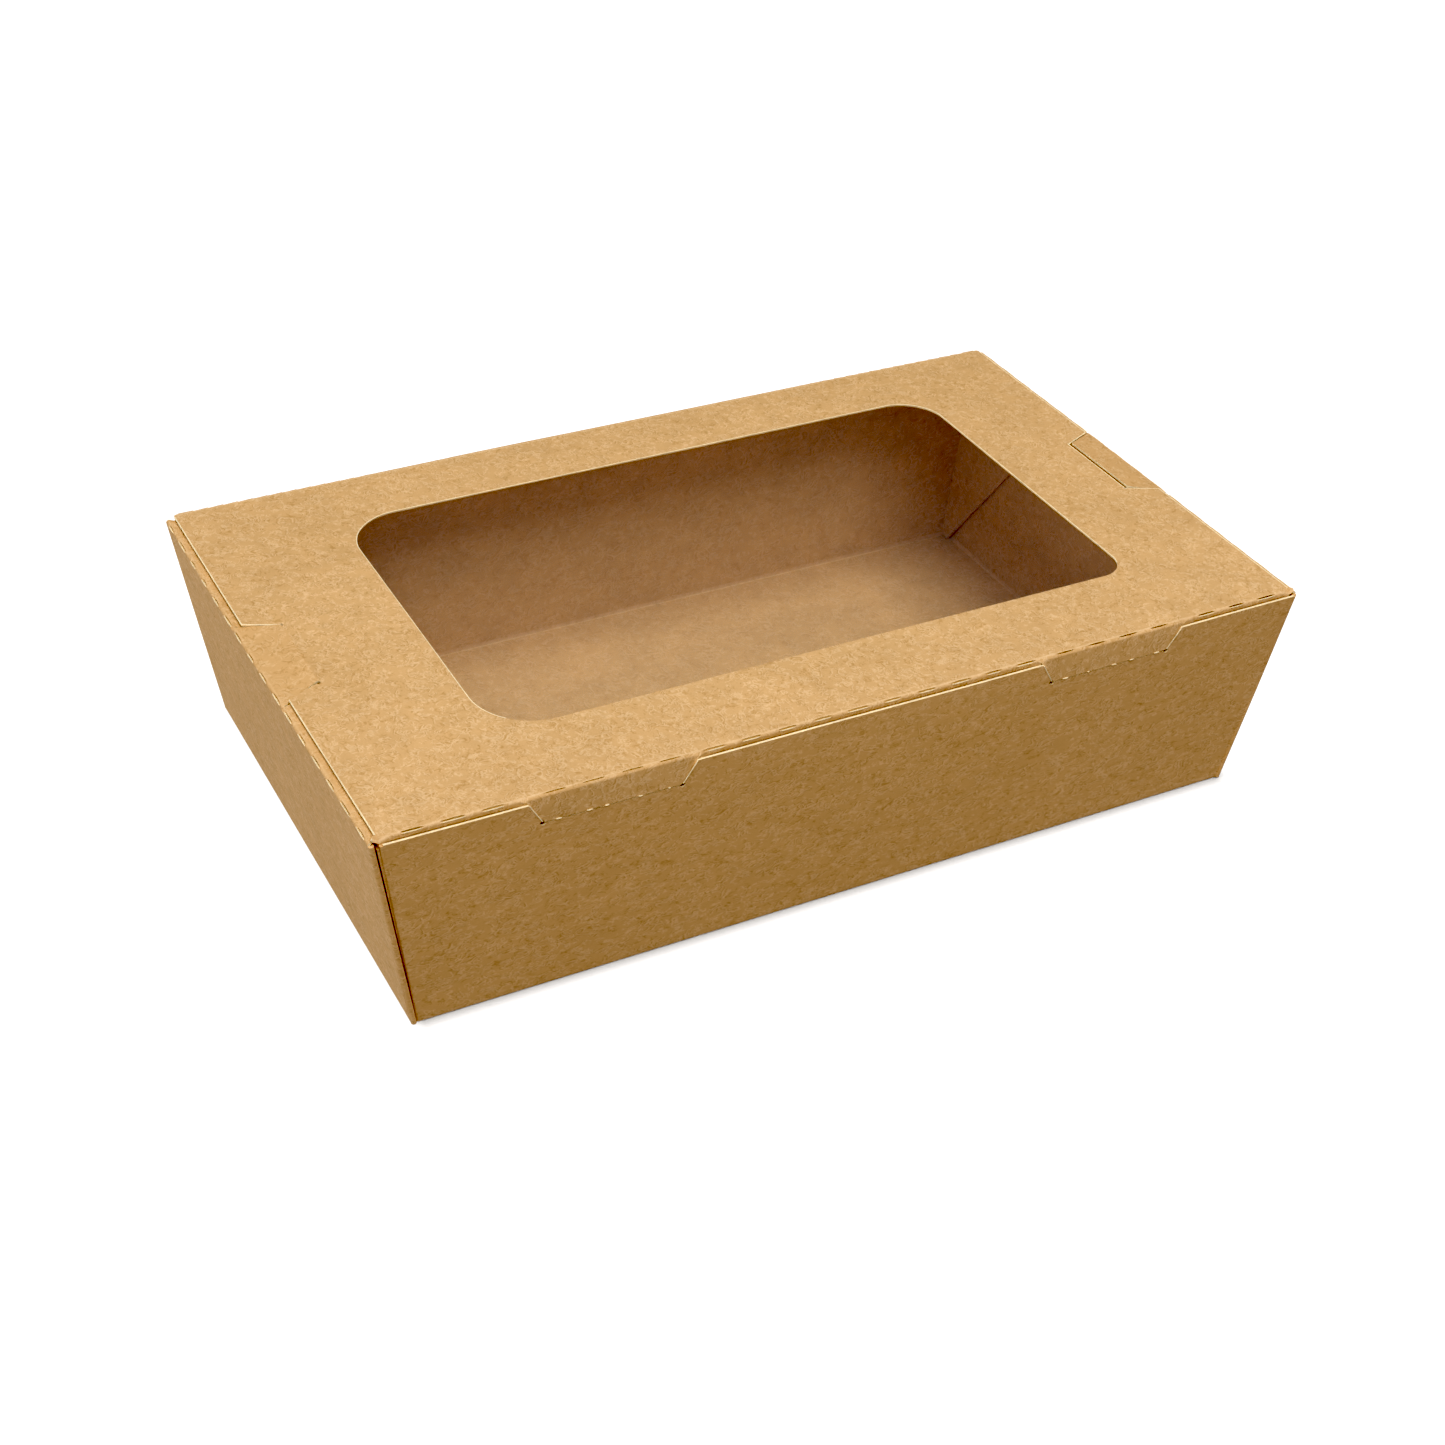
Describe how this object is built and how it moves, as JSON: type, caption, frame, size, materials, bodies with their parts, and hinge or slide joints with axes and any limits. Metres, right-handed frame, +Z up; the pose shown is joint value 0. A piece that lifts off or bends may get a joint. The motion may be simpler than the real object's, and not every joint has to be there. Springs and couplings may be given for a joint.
{
  "type": "takeaway box",
  "caption": "Low kraft board takeaway box with leaning walls, webbed corners, a back-hinged tuck lid with a rounded clear window, and lock tongues at its front and ends.",
  "frame": {"origin": "middle of the base's underside", "axes": "+X along the long side, -Y out of the front wall where the lid tucks in, +Y to the lid's hinge, +Z up"},
  "size_m": [0.2, 0.1199, 0.048],
  "materials": {
    "kraft_board": "uncoated unbleached kraft board, matt, with visible fibres",
    "kraft_lid": "uncoated unbleached kraft board, matt, with visible fibres",
    "clear_film": "thin clear glossy film"
  },
  "bodies": {
    "tray_body": {"tray": "kraft_board"},
    "lid_body": {"lid": "kraft_lid", "window_film": "clear_film"}
  },
  "joints": [
    {"name": "lid_hinge", "type": "hinge", "parent": "tray_body", "child": "lid_body", "pos_m": [0, 0.06, 0.048], "axis": [-1, 0, 0], "range_deg": [0, 180]}
  ]
}
